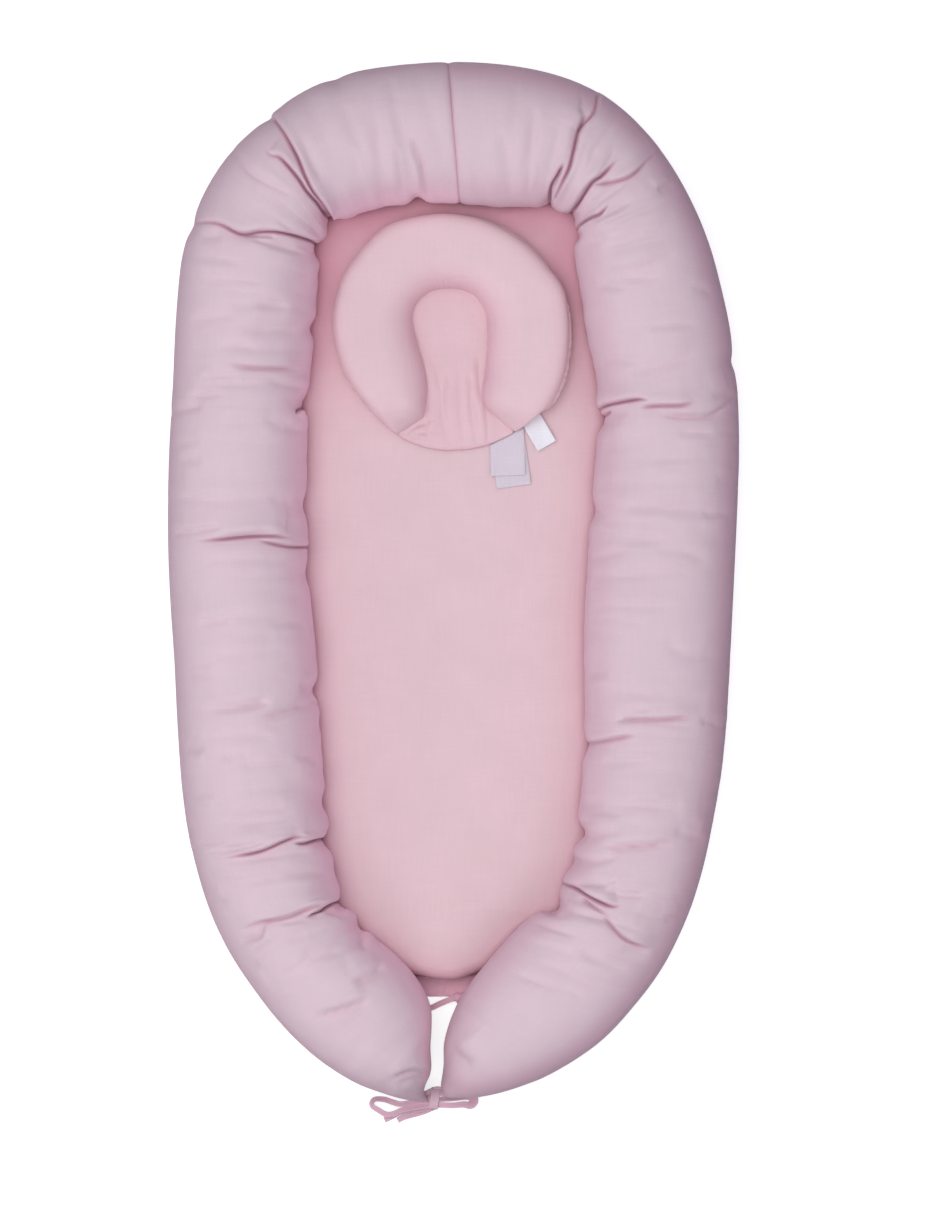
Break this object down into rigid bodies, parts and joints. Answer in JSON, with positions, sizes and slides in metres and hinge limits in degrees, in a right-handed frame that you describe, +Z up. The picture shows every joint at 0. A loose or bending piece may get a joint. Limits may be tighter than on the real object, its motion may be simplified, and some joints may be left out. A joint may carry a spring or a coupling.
{
  "type": "infant lounger",
  "caption": "Soft baby nest: a stuffed bolster tied at the foot round a lift-out mattress, with a round head pillow that has a keyhole dip and sewn-in blank labels.",
  "frame": {"origin": "on the floor, at the middle of the base panel's flat underside, midway along and across the bolster's outline", "axes": "+Z up, +Y towards the head end, +X to the right as seen from above with the head end away"},
  "size_m": [0.4938, 0.9241, 0.1121],
  "materials": {
    "bolster_cotton": "matt plain-woven cotton",
    "mattress_cotton": "matt plain-woven cotton",
    "fibre_filling": "loose white polyester fibre",
    "tie_cotton": "folded and stitched cotton strap",
    "woven_label": "blank white woven tape",
    "satin_ribbon": "blank white satin"
  },
  "bodies": {
    "nest": {"bolster_cover_left": "bolster_cotton", "bolster_cover_right": "bolster_cotton", "bolster_filling": "fibre_filling", "base_panel": "bolster_cotton", "foot_hem_left": "bolster_cotton", "foot_hem_right": "bolster_cotton", "bow_knot": "tie_cotton", "bow_loop_left": "tie_cotton", "bow_loop_right": "tie_cotton", "bow_tail_front": "tie_cotton", "bow_tail_back": "tie_cotton", "foot_tie_knot": "tie_cotton", "foot_tie_left": "tie_cotton", "foot_tie_right": "tie_cotton"},
    "mattress": {"mattress_cover_top": "mattress_cotton", "mattress_cover_bottom": "mattress_cotton", "mattress_core": "fibre_filling"},
    "pillow": {"pillow_back_panel": "mattress_cotton", "pillow_horseshoe_cover": "mattress_cotton", "pillow_filling": "fibre_filling", "pillow_keyhole_panel": "mattress_cotton"},
    "care_label": {"care_label_front": "woven_label", "care_label_back": "woven_label"},
    "satin_tab": {"satin_tab": "satin_ribbon"}
  },
  "joints": [
    {"name": "mattress_lift", "type": "slide", "parent": "nest", "child": "mattress", "axis": [0, 0, 1], "range_m": [0, 0.15]},
    {"name": "pillow_lift", "type": "slide", "parent": "mattress", "child": "pillow", "axis": [0, 0, 1], "range_m": [0, 0.12]},
    {"name": "care_label_flip", "type": "hinge", "parent": "pillow", "child": "care_label", "pos_m": [0.0465, 0.12479, 0.0399], "axis": [-0.8829, -0.4695, 0], "range_deg": [0, 80]},
    {"name": "satin_tab_flip", "type": "hinge", "parent": "pillow", "child": "satin_tab", "pos_m": [0.06779, 0.13984, 0.0391], "axis": [-0.7373, -0.6756, 0], "range_deg": [0, 80]}
  ]
}
